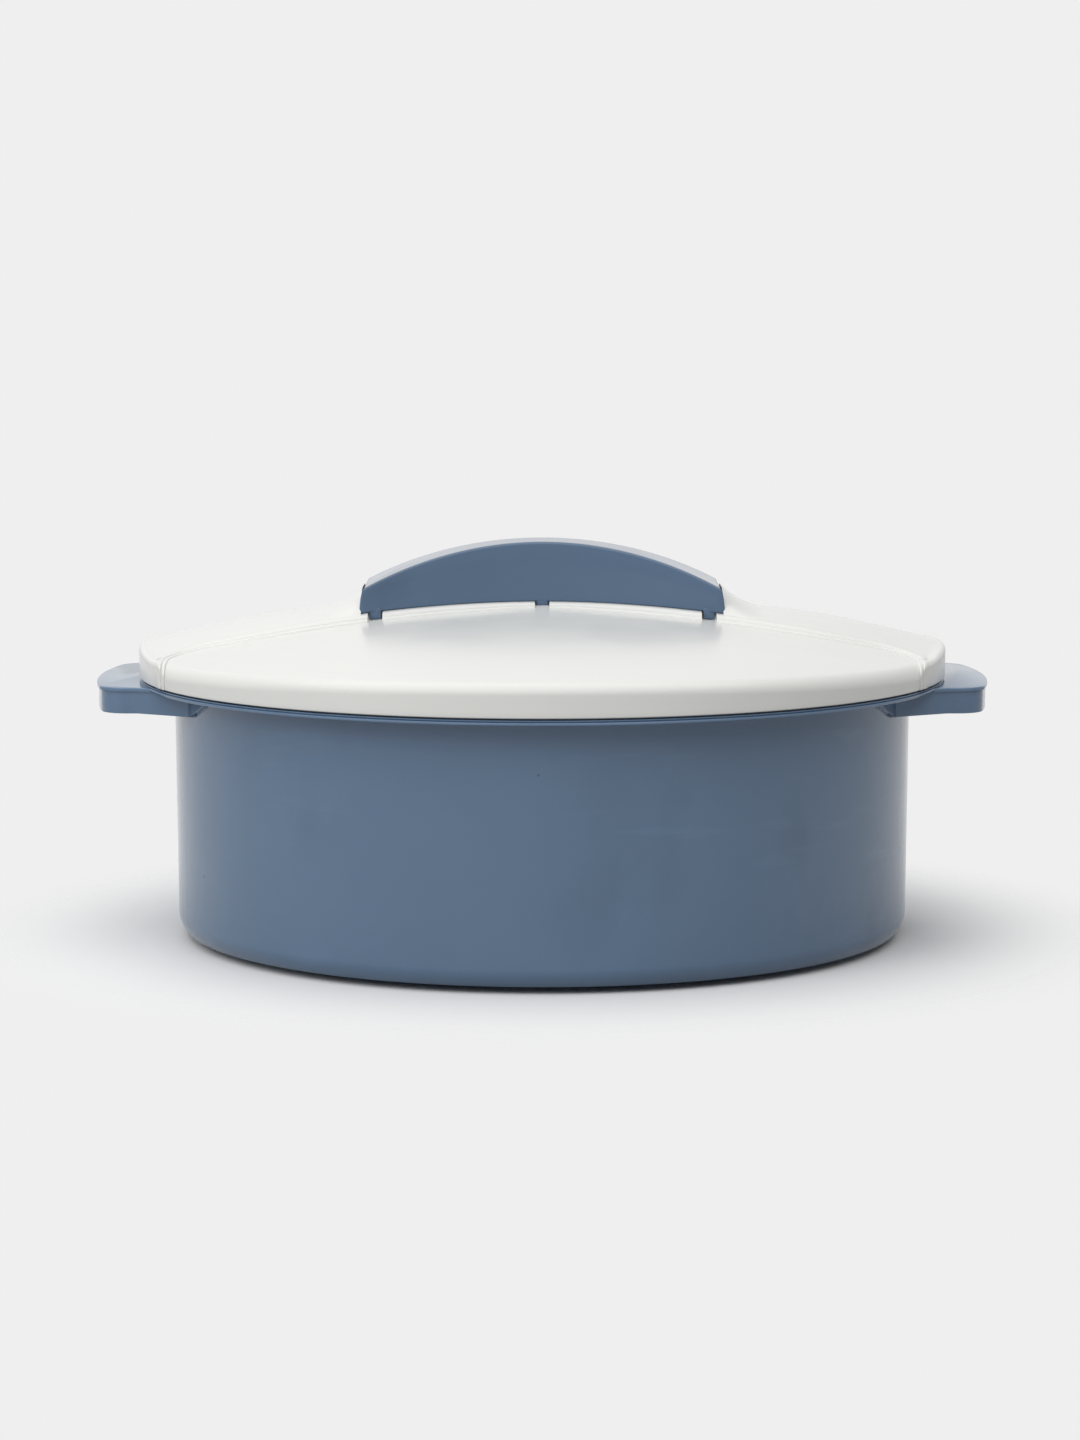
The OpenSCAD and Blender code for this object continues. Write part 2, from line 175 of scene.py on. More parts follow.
class PotLid(bpy.types.PropertyGroup):
    """Sizes of the lid shell."""
    radius: size("Radius", "Outer radius of the lid", LID_HIGH.x)
    bottom: size("Bottom", "Height of the lid's lower edge", LID_LOW.z)
    wall: size("Wall", "Thickness of the lid", 0.002)
    skirt_drop: size("Skirt drop", "Depth of the skirt's edge into the ring's rebate", 0.0004)
    panel_height: size("Panel height", "Height of the middle of the domed panels", 0.0226)
    panel_front: size("Panel front", "Height of the panels run out to the lid's edge at the front", 0.0104)
    panel_side: size("Panel side", "Height of the panels run out to the lid's edge at the sides", 0.0064)
    panel_peak: size("Panel peak", "Rise of the panels towards the middle", 0.0022)
    peak_radius: size("Peak radius", "Radius within which the panels rise towards the middle", 0.038)
    shoulder_front: size("Front shoulder", "Radius between the panels and the skirt at the front", 0.0043)
    shoulder_side: size("Side shoulder", "Radius between the panels and the skirt at the sides", 0.0055)
    band_height: size("Band height", "Height of the band's edges at their middle", 0.0247)
    band_rim: size("Band rim", "Height of the band's edges run out to the edge of the lid", 0.0077)
    crown_run: size("Crown run", "Distance over which the band's crown turns straight", 0.101)
    cross_radius: size("Cross radius", "Radius of the crown across the band", 0.13)
    crown_fade: share("Crown fade", "Share by which the crown sinks towards the ends of the band", 0.35)
    crown_run_out: size("Crown run-out", "Depth to which the crown runs out beyond the ribs' turns", 0.0012)
    waist: size("Waist", "Width of the band under the handle", 0.028)
    band_width: size("Band width", "Width of the band beyond the handle", 0.063)
    spread: size("Spread", "Distance from the middle at which the band has its full width", 0.105)
    rib_end: size("Rib end", "Distance from the middle at which the ribs run down the skirt", 0.1275)
    rib_turn: size("Rib turn", "Radius with which the ribs turn to the skirt", 0.014)
    rib_width: size("Rib width", "Width of the two beads of a rib", 0.0026)
    rib_height: size("Rib height", "Height of the beads over the band", 0.00005)
    rib_proud: size("Rib on skirt", "Height of the beads over the skirt", 0.0004)
    end_round: size("End edge", "Radius of the edge at the ends of the band", 0.0019)
    low_edge: size("Lower edge", "Rounding of the lid's lower edge", 0.0005)
    sweep_radius: size("Sweep radius", "Radius of the sweeps up to the handle's ends", 0.0243)
    sweep_drop: size("Sweep drop", "Depth of the sweeps' top edge below the handle's end", 0.0006)
    sweep_lap: size("Sweep lap", "Overlap of the sweeps onto the ribs", 0.0003)
    sweep_gap: size("Sweep gap", "Gap between the sweeps and the handle's ends", 0.0001)


class PotHandle(bpy.types.PropertyGroup):
    """Sizes of the handle on the lid."""
    length: size("Length", "Length at the foot", 2 * HANDLE_HIGH.x)
    top: size("Top", "Height of the arched top above the table", HANDLE_HIGH.z)
    arch: size("Arch", "Radius of the arched top", 0.1305)
    taper: size("Taper", "Taper of each end", 0.0008)
    wall: size("Wall", "Thickness of the handle", 0.002)
    seam: size("Seam", "Gap between the handle and the ribs", 0.0004)
    foot_gap: size("Foot gap", "Gap between the handle's foot and the band's edge", 0.0002)
    foot_crown: size("Foot crown", "Radius across the band to which the foot's ends rise", 0.5)
    top_edge: size("Top edge", "Rounding of the long top edges", 0.0009)
    end_edge: size("End edge", "Rounding of the top edges at the ends", 0.0019)
    foot_edge: size("Foot edge", "Rounding of the foot", 0.0003)
    corner: size("Corner", "Rounding of the upright corners", 0.0009)
    tab_width: size("Tab width", "Width of a clip tab", 0.004)
    tab_end: size("Tab end", "Distance of the outer tabs from the handle's ends", 0.0056)
    tab_space: size("Tab space", "Space beside a tab in its gap through the rib", 0.0005)
    tab_drop: size("Tab drop", "Gap between a tab and the floor of its gap", 0.0003)
    tab_setback: size("Tab setback", "Depth of a tab's face behind the face of the handle", 0.000075)
    tab_slot: size("Tab slot", "Depth of a tab's gap, in from the outside of the rib", 0.0056)


class PotFinish(bpy.types.PropertyGroup):
    """Colours and gloss."""
    body_blue: tint("Body blue", "Satin blue of the body", 95, 121, 150)
    handle_blue: tint("Handle blue", "Satin blue of the lid handle", 78, 102, 129)
    lid_white: tint("Lid white", "Glossy white of the lid", 228, 228, 225)
    bowl_white: tint("Bowl white", "White of the bowl and the liner", 232, 232, 228)
    foam_cream: tint("Foam cream", "Cream of the insulating foam", 224, 214, 172)
    body_gloss: share("Body roughness", "Roughness of the blue pieces", 0.11)
    lid_gloss: share("Lid roughness", "Roughness of the white lid", 0.22)
    bowl_gloss: share("Bowl roughness", "Roughness of the bowl", 0.3)


class PotStudio(bpy.types.PropertyGroup):
    """Camera, light and floor."""
    camera_distance: size("Camera distance", "Distance of the camera in front of the pot's axis", 1.3626)
    camera_height: size("Camera height", "Height of the camera", 0.2386)
    camera_pitch: bpy.props.FloatProperty(
        name="Camera pitch", description="Downward tilt of the camera",
        default=math.radians(6.90), subtype="ANGLE")
    lens: bpy.props.FloatProperty(
        name="Lens", description="Focal length on a sensor 36 mm high",
        default=98.08, min=1, subtype="DISTANCE_CAMERA")
    shift: bpy.props.FloatProperty(
        name="Shift", description="Sideways shift that centres the pot as photographed", default=-0.0015)
    backdrop: tint("Backdrop", "Grey of the floor and the background", 239, 239, 239)
    floor_bounce: tint("Floor bounce", "Grey of the floor as far as it lights the pot", 160, 160, 160)
    sky: share("Sky", "Strength of the even light from all around", 0.3)
    key_power: power("Key power", "Power of the large lamp overhead", 34.5)
    key_breadth: size("Key breadth", "Diameter of the large lamp overhead", 3.4)
    key_place: spot("Key place", "Place of the large lamp overhead", -0.15, -0.6, 1.5)
    fill_power: power("Fill power", "Power of each low lamp", 5.4)
    fill_breadth: size("Fill breadth", "Diameter of each low lamp", 0.9)
    fill_front: spot("Front fill place", "Place of the low lamp at the front left", -1.15, -1.05, 0.7)
    fill_back: spot("Back fill place", "Place of the low lamp behind", -0.45, 1.4, 0.8)
    floor_radius: size("Floor radius", "Radius of the floor", 3.0)
    fade_start: size("Fade start", "Distance at which the floor starts to pass into the background", 0.125)
    fade_end: size("Fade end", "Distance at which it has passed into the background", 0.22)


GROUPS = {
    "pot_body": PotBody,
    "pot_grip": PotGrip,
    "pot_inside": PotInside,
    "pot_lid": PotLid,
    "pot_handle": PotHandle,
    "pot_finish": PotFinish,
    "pot_studio": PotStudio,
}


# Materials

def linear(colour, gain=1.0):
    """A screen colour as the light that a shader works with, made lighter or darker by gain."""
    light = Color(colour).from_srgb_to_scene_linear()
    return (light.r * gain, light.g * gain, light.b * gain, 1.0)


class NodeTree:
    """The node tree of a material or a world, with short calls to add nodes to it."""

    def __init__(self, owner, output):
        owner.use_nodes = True
        self.tree = owner.node_tree
        self.tree.nodes.clear()
        self.output = self.add(output)

    def add(self, kind, **settings):
        """A new node with these settings."""
        made = self.tree.nodes.new(kind)
        for key, value in settings.items():
            setattr(made, key, value)
        return made

    def link(self, start, end):
        """Link one socket to another."""
        self.tree.links.new(start, end)

    def math(self, operation, first, second):
        """The result of a sum on two numbers or sockets."""
        made = self.add("ShaderNodeMath", operation=operation)
        for socket, value in zip(made.inputs, (first, second)):
            if isinstance(value, (int, float)):
                socket.default_value = value
            else:
                self.link(value, socket)
        return made.outputs["Value"]

    def rays(self):
        """1 for the camera's own rays, and 1 for those that reflections and clear things show as well."""
        path = self.add("ShaderNodeLightPath").outputs
        direct = path["Is Camera Ray"]
        indirect = self.math("MAXIMUM", path["Is Glossy Ray"], path["Is Transmission Ray"])
        return direct, self.math("MAXIMUM", direct, indirect)

    def show(self, surface):
        """Use a shader as the surface."""
        self.link(surface, self.output.inputs["Surface"])

    def show_mix(self, factor, first, second):
        """Show a mix of two shaders, from the first at 0 to the second at 1."""
        made = self.add("ShaderNodeMixShader")
        for socket, source in zip(made.inputs, (factor, first, second)):
            self.link(source, socket)
        self.show(made.outputs["Shader"])


class Finish(NodeTree):
    """A material's node tree, with patterns that lie on Object coordinates."""

    # Noise lies almost wholly within this range
    NOISE_RANGE = (0.3, 0.7)
    # Noise in this range is the soft edge of a patch, and above it a patch
    PATCH_RANGE = (0.5, 0.66)
    # How far the roughness of a plastic wanders down and up
    GLOSS_DOWN, GLOSS_UP = 0.03, 0.04
    # Places of a Mix node's sockets where it mixes colours
    MIX_FACTOR, MIX_FIRST, MIX_SECOND, MIX_RESULT = 0, 6, 7, 2

    def __init__(self, name):
        self.material = bpy.data.materials.get(name) or bpy.data.materials.new(name)
        super().__init__(self.material, "ShaderNodeOutputMaterial")
        self.place = self.add("ShaderNodeTexCoord").outputs["Object"]

    def stretched(self, scale):
        """Object coordinates multiplied by scale on each axis."""
        mapping = self.add("ShaderNodeMapping")
        mapping.inputs["Scale"].default_value = scale
        self.link(self.place, mapping.inputs["Vector"])
        return mapping.outputs["Vector"]

    def noise(self, scale, detail, vector=None):
        """Noise on Object coordinates, or on other ones."""
        made = self.add("ShaderNodeTexNoise")
        made.inputs["Scale"].default_value = scale
        made.inputs["Detail"].default_value = detail
        self.link(vector or self.place, made.inputs["Vector"])
        return made.outputs["Fac"]

    def cells(self, scale):
        """Cells at random places: the distance from their middles, and a colour for each."""
        made = self.add("ShaderNodeTexVoronoi")
        made.inputs["Scale"].default_value = scale
        self.link(self.place, made.inputs["Vector"])
        return made.outputs["Distance"], made.outputs["Color"]

    def ranged(self, value, low, high, to_low=0.0, to_high=1.0, soft=False):
        """Value from low to high, spread over to_low to to_high, with soft ends on request."""
        made = self.add("ShaderNodeMapRange", interpolation_type="SMOOTHSTEP" if soft else "LINEAR")
        sockets = ("From Min", "From Max", "To Min", "To Max")
        for socket, number in zip(sockets, (low, high, to_low, to_high)):
            made.inputs[socket].default_value = number
        self.link(value, made.inputs["Value"])
        return made.outputs["Result"]

    def uneven(self, scale, detail, to_low=0.0, to_high=1.0):
        """Noise that wanders from to_low to to_high."""
        return self.ranged(self.noise(scale, detail), *self.NOISE_RANGE, to_low, to_high)

    def gloss(self, roughness, scale):
        """Roughness that wanders a little about the given one."""
        low, high = roughness - self.GLOSS_DOWN, roughness + self.GLOSS_UP
        return self.uneven(scale, detail=3, to_low=low, to_high=high)

    def mixed(self, factor, first, second):
        """A colour between first and second, which are colours or sockets."""
        made = self.add("ShaderNodeMix", data_type="RGBA")
        self.link(factor, made.inputs[self.MIX_FACTOR])
        for place, value in ((self.MIX_FIRST, first), (self.MIX_SECOND, second)):
            if isinstance(value, bpy.types.NodeSocket):
                self.link(value, made.inputs[place])
            else:
                made.inputs[place].default_value = value
        return made.outputs[self.MIX_RESULT]

    def patches(self, fine, low, high, scale, strength):
        """A fine pattern, spread from low to high and kept to patches of a coarser scale."""
        patch = self.ranged(self.noise(scale, detail=2), *self.PATCH_RANGE)
        kept = self.math("MULTIPLY", self.ranged(fine, low, high), patch)
        return self.math("MULTIPLY", kept, strength)

    def bump(self, height, strength, distance):
        """The surface's normal, bent by a height."""
        made = self.add("ShaderNodeBump")
        made.inputs["Strength"].default_value = strength
        made.inputs["Distance"].default_value = distance
        self.link(height, made.inputs["Height"])
        return made.outputs["Normal"]

    def principled(self, colour, roughness, normal, specular):
        """Show a surface with these sockets' colour, roughness and normal, and return the material."""
        made = self.add("ShaderNodeBsdfPrincipled")
        made.inputs["Specular IOR Level"].default_value = specular
        self.link(colour, made.inputs["Base Color"])
        self.link(roughness, made.inputs["Roughness"])
        self.link(normal, made.inputs["Normal"])
        self.show(made.outputs["BSDF"])
        return self.material


def blue_plastic(name, colour, roughness):
    """Satin blue polypropylene, faintly mottled, with rubbed streaks, smudges and a few dark specks."""
    sh = Finish(name)
    base = sh.mixed(sh.uneven(scale=16, detail=4), linear(colour, 0.965), linear(colour, 1.035))
    flat_lines = sh.noise(scale=14, detail=5, vector=sh.stretched((1.2, 1.2, 9)))
    streaks = sh.patches(flat_lines, low=0.58, high=0.74, scale=9, strength=0.4)
    rubbed = sh.mixed(streaks, base, linear(colour, 1.5))
    blots = sh.noise(scale=30, detail=6, vector=sh.stretched((1, 1, 0.6)))
    smudges = sh.patches(blots, low=0.50, high=0.68, scale=12, strength=0.4)
    worn = sh.mixed(smudges, rubbed, linear(colour, 0.62))
    distance, number = sh.cells(scale=46)
    split = sh.add("ShaderNodeSeparateColor")
    sh.link(number, split.inputs["Color"])
    few = sh.math("GREATER_THAN", split.outputs["Red"], 0.7)
    speck = sh.math("MULTIPLY", sh.math("LESS_THAN", distance, 0.028), few)
    finished = sh.mixed(sh.math("MULTIPLY", speck, 0.45), worn, linear(colour, 0.25))
    grain = sh.bump(sh.noise(scale=1400, detail=2), strength=0.05, distance=0.0003)
    return sh.principled(finished, sh.gloss(roughness, scale=40), grain, specular=0.5)


def white_plastic(name, colour, roughness):
    """Glossy white polypropylene with faint specks and the slight waviness of a moulding."""
    sh = Finish(name)
    base = sh.mixed(sh.uneven(scale=11, detail=3), linear(colour, 0.985), linear(colour, 1.01))
    distance, _ = sh.cells(scale=60)
    speck = sh.math("MULTIPLY", sh.math("LESS_THAN", distance, 0.02), 0.16)
    finished = sh.mixed(speck, base, linear(colour, 0.45))
    wave = sh.bump(sh.noise(scale=90, detail=2), strength=0.04, distance=0.0004)
    return sh.principled(finished, sh.gloss(roughness, scale=30), wave, specular=0.35)


def rigid_foam(name, colour):
    """Cream rigid foam with closed cells."""
    sh = Finish(name)
    distance, _ = sh.cells(scale=700)
    base = sh.mixed(distance, linear(colour, 0.9), linear(colour, 1.05))
    gloss = sh.uneven(scale=60, detail=2, to_low=0.8, to_high=0.95)
    return sh.principled(base, gloss, sh.bump(distance, strength=0.4, distance=0.0006), specular=0.3)


def body_blue(finish):
    """The blue that the body's pieces share."""
    return blue_plastic("body_blue", finish.body_blue, finish.body_gloss)


def bowl_white(finish):
    """The white that the bowl, the liner and the lid's plug share."""
    return white_plastic("bowl_white", finish.bowl_white, finish.bowl_gloss)


# Meshes

def arc(centre, radius, start, end, steps):
    """Points on a circle in the plane from angle start to end."""
    angles = [start + (end - start) / steps * i for i in range(steps + 1)]
    return [(centre[0] + radius * math.cos(a), centre[1] + radius * math.sin(a)) for a in angles]


def on_circle(radius, angle, z):
    """The point at that radius, angle and height."""
    return Vector((radius * math.cos(angle), radius * math.sin(angle), z))


def between(first, last, part):
    """The value or vector that lies at that part of the way from first to last."""
    return first + (last - first) * part


def eased(part):
    """A part of the way, kept from 0 to 1, with a soft start and a soft end."""
    part = min(max(part, 0), 1)
    return part * part * (3 - 2 * part)


def soften(bm, edges, width, segments):
    """Round these edges."""
    bmesh.ops.bevel(
        bm, geom=edges, offset=width, offset_type="OFFSET", segments=segments, profile=0.5,
        affect="EDGES", material=-1, clamp_overlap=True)


def turned(corners, closed=False):
    """The section through these (radius, height, rounding) corners, turned once about the Z axis."""
    bm = bmesh.new()
    chain = [bm.verts.new((r, 0, z)) for r, z, _ in corners]
    for pair in zip(chain, chain[1:] + chain[:1] if closed else chain[1:]):
        bm.edges.new(pair)
    for vert, (_, _, rounding) in zip(chain, corners):
        if rounding:
            bmesh.ops.bevel(
                bm, geom=[vert], offset=rounding, offset_type="OFFSET", segments=CORNER_STEPS, profile=0.5,
                affect="VERTICES", material=-1)
    bmesh.ops.spin(
        bm, geom=bm.verts[:] + bm.edges[:], axis=(0, 0, 1), cent=(0, 0, 0), angle=math.tau,
        steps=TURN_STEPS, use_merge=True)
    bmesh.ops.remove_doubles(bm, verts=bm.verts, dist=WELD)
    bmesh.ops.recalc_face_normals(bm, faces=bm.faces)
    return bm


def skin(bm, rows):
    """Join rows of points, all of one length, by extruding the first row from row to row."""
    chain = [bm.verts.new(p) for p in rows[0]]
    edges = [bm.edges.new(pair) for pair in zip(chain, chain[1:])]
    for row in rows[1:]:
        made = bmesh.ops.extrude_edge_only(bm, edges=edges)["geom"]
        fresh = {g for g in made if isinstance(g, bmesh.types.BMVert)}
        chain = [next(e.other_vert(v) for e in v.link_edges if e.other_vert(v) in fresh) for v in chain]
        for vert, point in zip(chain, row):
            vert.co = point
        edges = [bm.edges.get(pair) for pair in zip(chain, chain[1:])]


def drawn_out(bm, face, height):
    """Extrude a face along Z and return the face at the far end."""
    made = bmesh.ops.extrude_face_region(bm, geom=[face])["geom"]
    far = next(g for g in made if isinstance(g, bmesh.types.BMFace))
    bmesh.ops.translate(bm, vec=(0, 0, height), verts=far.verts)
    return far


def drawn_in(bm, face, width):
    """Inset a face by width all round."""
    bmesh.ops.inset_region(bm, faces=[face], thickness=width, use_even_offset=True, use_boundary=True)


def drop_face(bm, face):
    """Take out a face that an extrusion has left inside a wall."""
    bmesh.ops.delete(bm, geom=[face], context="FACES_ONLY")


def mirrored(bm, axis):
    """Add the mirror image on the other side of the plane through the origin across axis."""
    bmesh.ops.mirror(bm, geom=bm.verts[:] + bm.edges[:] + bm.faces[:], matrix=Matrix.Identity(4),
                     merge_dist=WELD, axis=axis)


def face_out(bm):
    """Turn all faces outwards, judged by the highest one."""
    bmesh.ops.recalc_face_normals(bm, faces=bm.faces)
    highest = max(bm.faces, key=lambda f: f.calc_center_median().z)
    if highest.normal.z < 0:
        bmesh.ops.reverse_faces(bm, faces=bm.faces)


def four_quarters(bm):
    """Complete the front right quarter with its three mirror images."""
    bmesh.ops.remove_doubles(bm, verts=bm.verts, dist=WELD)
    mirrored(bm, "X")
    mirrored(bm, "Y")
    bmesh.ops.remove_doubles(bm, verts=bm.verts, dist=WELD)
    face_out(bm)


def finished_mesh(name, bm):
    """A mesh with the faces of bm, which ends there."""
    mesh = bpy.data.meshes.new(name)
    bm.to_mesh(mesh)
    bm.free()
    return mesh


def add_object(name, data):
    """A new object in the scene, in place of an older one of that name."""
    old = bpy.data.objects.get(name)
    if old:
        bpy.data.objects.remove(old)
    made = bpy.data.objects.new(name, data)
    bpy.context.scene.collection.objects.link(made)
    return made


def make_piece(name, bm, material, body, slot, *nodes):
    """An object from the mesh, riding on a body in place of the CAD nodes."""
    mesh = finished_mesh(name, bm)
    mesh.shade_smooth()
    mesh.set_sharp_from_angle(angle=CRISP)
    mesh.materials.append(material)
    piece = add_object(name, mesh)
    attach(piece, body)
    if nodes:
        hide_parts(*nodes)


def paint_node(node, material):
    """Give a CAD node that stays in place this material."""
    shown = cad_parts[node]
    if not shown.material_slots:
        raise RuntimeError(f"node {node} has no material slot")
    for place in shown.material_slots:
        place.material = material


# The lid's form

class LidForm:
    """Heights and plan lines of the lid, shared by its shell and its handle."""

    # Steps from the shoulder's start to the foot of the skirt, and those of them down the skirt of a panel
    RIM_STEPS = 22
    SKIRT_STEPS = 4
    # Those of the rim's steps in the run-out of the band's end, and down the skirt there
    RUN_OUT_STEPS = 3
    END_SKIRT_STEPS = 5
    # Steps round the lower edge
    LOW_EDGE_STEPS = 4
    # Steps across a panel, across half the band, and out from the ribs' ends to the shoulder
    PANEL_STEPS = 26
    BAND_STEPS = 14
    BAND_END_STEPS = 6
    # Steps along the rib's turn, and along its run to the shoulder
    RIB_TURN_STEPS = 14
    RIB_RUN_STEPS = 8
    # Steps down a sweep, and rounds of the search for its lower end
    SWEEP_STEPS = 28
    SWEEP_ROUNDS = 20
    # Power with which a sweep falls off towards its sides
    SWEEP_FALL = 4
    # Spacing of the stations along the waist, and their least distance from a gap's edge
    STATION = 0.0025
    STATION_CLEAR = STATION / 3
    # Width of the step between a rib and its gap
    GAP_STEP = 0.00005
    # Cross-section of a rib: place as a share of its width, share of its height over the panel,
    # share of its height over the skirt
    RIB = ((-0.5, 0.0, 0.0), (-0.49, 0.13, 0.3), (-0.45, 0.25, 0.6), (-0.37, 0.35, 0.8), (-0.27, 0.42, 0.95),
           (-0.14, 0.46, 1.0), (-0.02, 0.47, 0.8), (0.03, 0.45, 0.4), (0.05, 0.52, 0.5), (0.07, 0.62, 0.7),
           (0.12, 0.74, 0.95), (0.21, 0.85, 1.15), (0.33, 0.93, 1.25), (0.48, 0.98, 1.25), (0.66, 1.0, 1.1),
           (0.84, 0.99, 0.7))

    def __init__(self, lid, handle):
        self.lid = lid
        self.end_angle = -math.acos(lid.rib_end / lid.radius)
        self.rim_r = self.rim_start(self.end_angle)[0]
        self.slope = (lid.band_height - lid.band_rim) / (lid.radius - lid.crown_run / 2)
        self.skirt_z = lid.bottom - lid.skirt_drop + lid.low_edge
        self.turn_x = lid.rib_end - lid.rib_turn
        self.turn_y = lid.band_width / 2 + lid.rib_turn
        tab = handle.length / 2 - handle.tab_end
        half_gap = handle.tab_width / 2 + handle.tab_space
        self.gaps = [(-half_gap, half_gap), (tab - half_gap, tab + half_gap)]
        self.slot = handle.tab_slot

    def half_width(self, x):
        """Half the width of the band, out to the outside of its ribs."""
        wide = math.sin(math.pi / 2 * min(abs(x) / self.lid.spread, 1)) ** 2
        return between(self.lid.waist, self.lid.band_width, wide) / 2

    def band_edge(self, x):
        """Height of the band at its edges."""
        lid = self.lid
        near = min(abs(x), lid.crown_run)
        run = near * near / (2 * lid.crown_run) + abs(x) - near
        return lid.bottom + lid.band_height - self.slope * run

    def rise(self, x):
        """Height of the crown in the middle of the band over its edges."""
        lid = self.lid
        fade = 1 - lid.crown_fade * eased((abs(x) - lid.spread) / (lid.radius - lid.spread))
        return fade * self.half_width(x) ** 2 / (2 * lid.cross_radius)

    def crest(self, x):
        """Height of the middle of the band."""
        return self.band_edge(x) + self.rise(x)

    def band(self, x, y):
        """Height of the band's top."""
        rise, across = self.rise(x), abs(y) / self.half_width(x)
        if across < 1:
            return self.band_edge(x) + rise * (1 - across * across)
        depth = self.lid.crown_run_out
        return self.band_edge(x) - depth * (1 - math.exp(2 * rise * (1 - across) / depth))

    def panel_drop(self, ahead):
        """Fall of a panel from the middle to the lid's edge. Ahead is 1 at the front and 0 at the sides."""
        return self.lid.panel_height - between(self.lid.panel_side, self.lid.panel_front, ahead)

    def panel(self, x, y):
        """Height of the domed panel."""
        lid = self.lid
        peak = lid.panel_peak * max(0, 1 - math.hypot(x, y) / lid.peak_radius) ** 2
        fall = (self.panel_drop(0) * x * x + self.panel_drop(1) * y * y) / lid.radius ** 2
        return lid.bottom + lid.panel_height + peak - fall

    def rim_start(self, angle):
        """Radius where the shoulder starts at that angle, the shoulder's radius and the panel's tilt."""
        ahead = math.sin(angle) ** 2
        shoulder = between(self.lid.shoulder_side, self.lid.shoulder_front, ahead)
        tilt = math.atan(2 * self.panel_drop(ahead) / self.lid.radius)
        return self.lid.radius - shoulder * (1 - math.sin(tilt)), shoulder, tilt

    def in_gap(self, x):
        """Whether a clip tab's gap cuts the rib here."""
        return any(low < x < high for low, high in self.gaps)

    def ribbed(self, x, y, up, lift):
        """Height at the share up of the way from the panel to the lifted band, or of a gap's floor."""
        low = self.panel(x, y)
        if self.in_gap(x) and self.half_width(x) - abs(y) < self.slot:
            return low
        return between(low, self.band(x, y) + lift, up)

    def stations(self):
        """Distances from the middle along the waist, with a pair on each side of a gap's edge."""
        count = round(self.turn_x / self.STATION)
        places = [self.turn_x * i / count for i in range(count + 1)]
        edges = [e for gap in self.gaps for e in gap if e > 0]
        places = [p for p in places if all(abs(p - e) > self.STATION_CLEAR for e in edges)]
        return sorted(places + [e + s * self.GAP_STEP / 2 for e in edges for s in (-1, 1)])

    def plan_line(self, inset):
        """Plan of a rib line in the front right quarter, in from the rib's outside, up to the shoulder."""
        points = [Vector((x, inset - self.half_width(x))) for x in self.stations()]
        radius = self.lid.rib_turn + inset
        turn = arc((self.turn_x, -self.turn_y), radius, math.pi / 2, 0, self.RIB_TURN_STEPS)
        points += [Vector(p) for p in turn[1:]]
        x = self.lid.rib_end + inset
        end_y = -math.sqrt(self.rim_r ** 2 - x * x)
        for i in range(1, self.RIB_RUN_STEPS + 1):
            points.append(Vector((x, between(-self.turn_y, end_y, i / self.RIB_RUN_STEPS))))
        return points

    def skirt(self, top, steps):
        """Points down the skirt between the height top and the lower edge: radius and height."""
        return [(self.lid.radius, between(top, self.skirt_z, i / steps)) for i in range(1, steps)]

    def under_edge(self):
        """The lid's lower edge, from the skirt round to the wall inside: radius and height."""
        lid = self.lid
        centre = (lid.radius - lid.low_edge, self.skirt_z)
        edge = arc(centre, lid.low_edge, 0, -math.pi / 2, self.LOW_EDGE_STEPS)
        inside, low = lid.radius - lid.wall, edge[-1][1]
        return edge + [(inside, low), (inside, low + 2 * lid.wall)]

    def panel_rim(self, angle, top):
        """Section of the shoulder, skirt and lower edge at that angle, from the panel's height top."""
        lid = self.lid
        _, shoulder, tilt = self.rim_start(angle)
        centre_z = top - shoulder * math.cos(tilt)
        steps = self.RIM_STEPS - self.SKIRT_STEPS
        turn = arc((lid.radius - shoulder, centre_z), shoulder, math.pi / 2 - tilt, 0, steps)
        return turn[1:] + self.skirt(centre_z, self.SKIRT_STEPS) + self.under_edge()

    def end_rim(self, top):
        """Section of the band's end edge, skirt and lower edge, from the band's height top."""
        lid = self.lid
        tilt = math.atan(self.slope)
        centre_r = lid.radius - lid.end_round
        start_r = max(centre_r + lid.end_round * math.sin(tilt), self.rim_r + WELD)
        start_z = top - (start_r - self.rim_r) * self.slope
        centre_z = start_z - lid.end_round * math.cos(tilt)
        parts = [i / self.RUN_OUT_STEPS for i in range(1, self.RUN_OUT_STEPS)]
        run = [(between(self.rim_r, start_r, t), between(top, start_z, t)) for t in parts]
        steps = self.RIM_STEPS - self.RUN_OUT_STEPS - self.END_SKIRT_STEPS
        turn = arc((centre_r, centre_z), lid.end_round, math.pi / 2 - tilt, 0, steps)
        return run + turn + self.skirt(centre_z, self.END_SKIRT_STEPS) + self.under_edge()


def panel_quarter(form, bm):
    """The front right quarter of a domed panel, from the foot of the rib out to the lower edge."""
    inset = form.RIB[0][0] * form.lid.rib_width
    foot = form.plan_line(inset)
    foot_x = form.lid.rib_end + inset
    reach = [0.0]
    for a, b in zip(foot, foot[1:]):
        reach.append(reach[-1] + (b - a).length)
    front = -math.pi / 2
    columns = []
    for point, run in zip(foot, reach):
        along = run / reach[-1]
        turn = between(front, form.end_angle, along)
        rim_r = form.rim_start(turn)[0]
        start = math.atan2(point.y, point.x)
        end = between(front, -math.acos(foot_x / rim_r), along)
        column = []
        for i in range(form.PANEL_STEPS + 1):
            t = i / form.PANEL_STEPS
            flat = on_circle(between(point.length, rim_r, t), between(start, end, t), 0)
            column.append(Vector((flat.x, flat.y, form.panel(flat.x, flat.y))))
        for r, z in form.panel_rim(turn, column[-1].z):
            column.append(on_circle(r, between(front, -math.acos(foot_x / r), along), z))
        columns.append(column)
    skin(bm, list(zip(*columns)))


